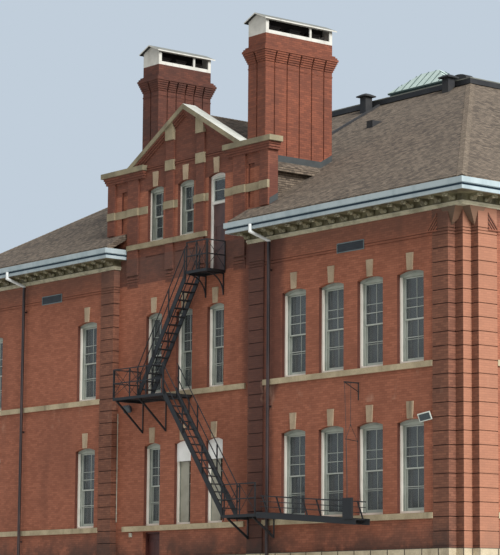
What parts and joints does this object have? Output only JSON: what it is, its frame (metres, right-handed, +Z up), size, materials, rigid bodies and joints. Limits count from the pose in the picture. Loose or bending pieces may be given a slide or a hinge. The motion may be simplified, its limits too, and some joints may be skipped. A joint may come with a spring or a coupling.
{
  "type": "school building",
  "caption": "Two-storey red brick schoolhouse with stone basement and bands, hipped roof, gabled middle bay between tall chimneys, and an iron fire escape with a drop stair.",
  "frame": {"origin": "on the ground, under the middle of the plan", "axes": "+X to the right along the front, +Y into the building, +Z up; the front with the fire escape faces -Y"},
  "size_m": [27.74, 25.74, 19.0403],
  "materials": {
    "black_iron": "satin",
    "brick": "rough",
    "concrete": "rough",
    "floor_boards": "satin",
    "glass": "polished",
    "olive_paint": "satin",
    "pipe_paint": "satin",
    "red_paint": "satin",
    "sheet_metal": "satin",
    "shingle": "rough",
    "stone": "rough",
    "white_paint": "satin"
  },
  "bodies": {
    "building": {"plinth_front": "stone", "plinth_sides": "stone", "plinth_back": "stone", "right_wing_front": "brick", "left_wing_front": "brick", "bay_front": "brick", "gable_front": "brick", "gable_cheeks": "shingle", "right_wall": "brick", "left_wall": "brick", "back_wall": "brick", "front_window_piers": "brick", "side_window_piers": "brick", "back_window_piers": "brick", "gable_trim": "brick", "wing_piers": "brick", "ground_floor": "concrete", "first_floor": "floor_boards", "second_floor": "floor_boards", "attic_floor": "floor_boards", "roof_front": "shingle", "roof_right": "shingle", "roof_left": "shingle", "roof_back": "shingle", "roof_deck": "black_iron", "gable_roof": "shingle", "skylight": "sheet_metal", "roof_vents": "black_iron", "cornice": "olive_paint", "gutters": "sheet_metal", "sill_bands": "stone", "keystones": "stone", "attic_bands": "stone", "coping": "stone", "chimney_right": "brick", "chimney_left": "brick", "chimney_caps": "white_paint", "window_frames": "white_paint", "front_glass": "glass", "side_glass": "glass", "back_glass": "glass", "downpipes": "pipe_paint", "wall_fittings": "black_iron", "escape_landings": "black_iron", "upper_stringers": "black_iron", "upper_treads": "black_iron", "lower_stringers": "black_iron", "lower_treads": "black_iron", "escape_rails": "black_iron", "escape_brackets": "black_iron", "stair_hinge": "black_iron", "pulley_bracket": "black_iron", "lift_cables": "black_iron", "door_frame": "red_paint", "fire_door": "red_paint"},
    "drop_stair": {"drop_stringers": "black_iron", "drop_treads": "black_iron", "drop_rails": "black_iron", "stair_weight": "black_iron"},
    "side_door": {"side_door": "red_paint"}
  },
  "joints": [
    {"name": "drop_stair_swing", "type": "hinge", "parent": "building", "child": "drop_stair", "pos_m": [5.26, -12.96, 2.795], "axis": [0, 1, 0], "range_deg": [0, 33]},
    {"name": "side_door_hinge", "type": "hinge", "parent": "building", "child": "side_door", "pos_m": [-2.0425, -11.542, 1.3], "axis": [0, 0, 1], "range_deg": [0, 90]}
  ]
}
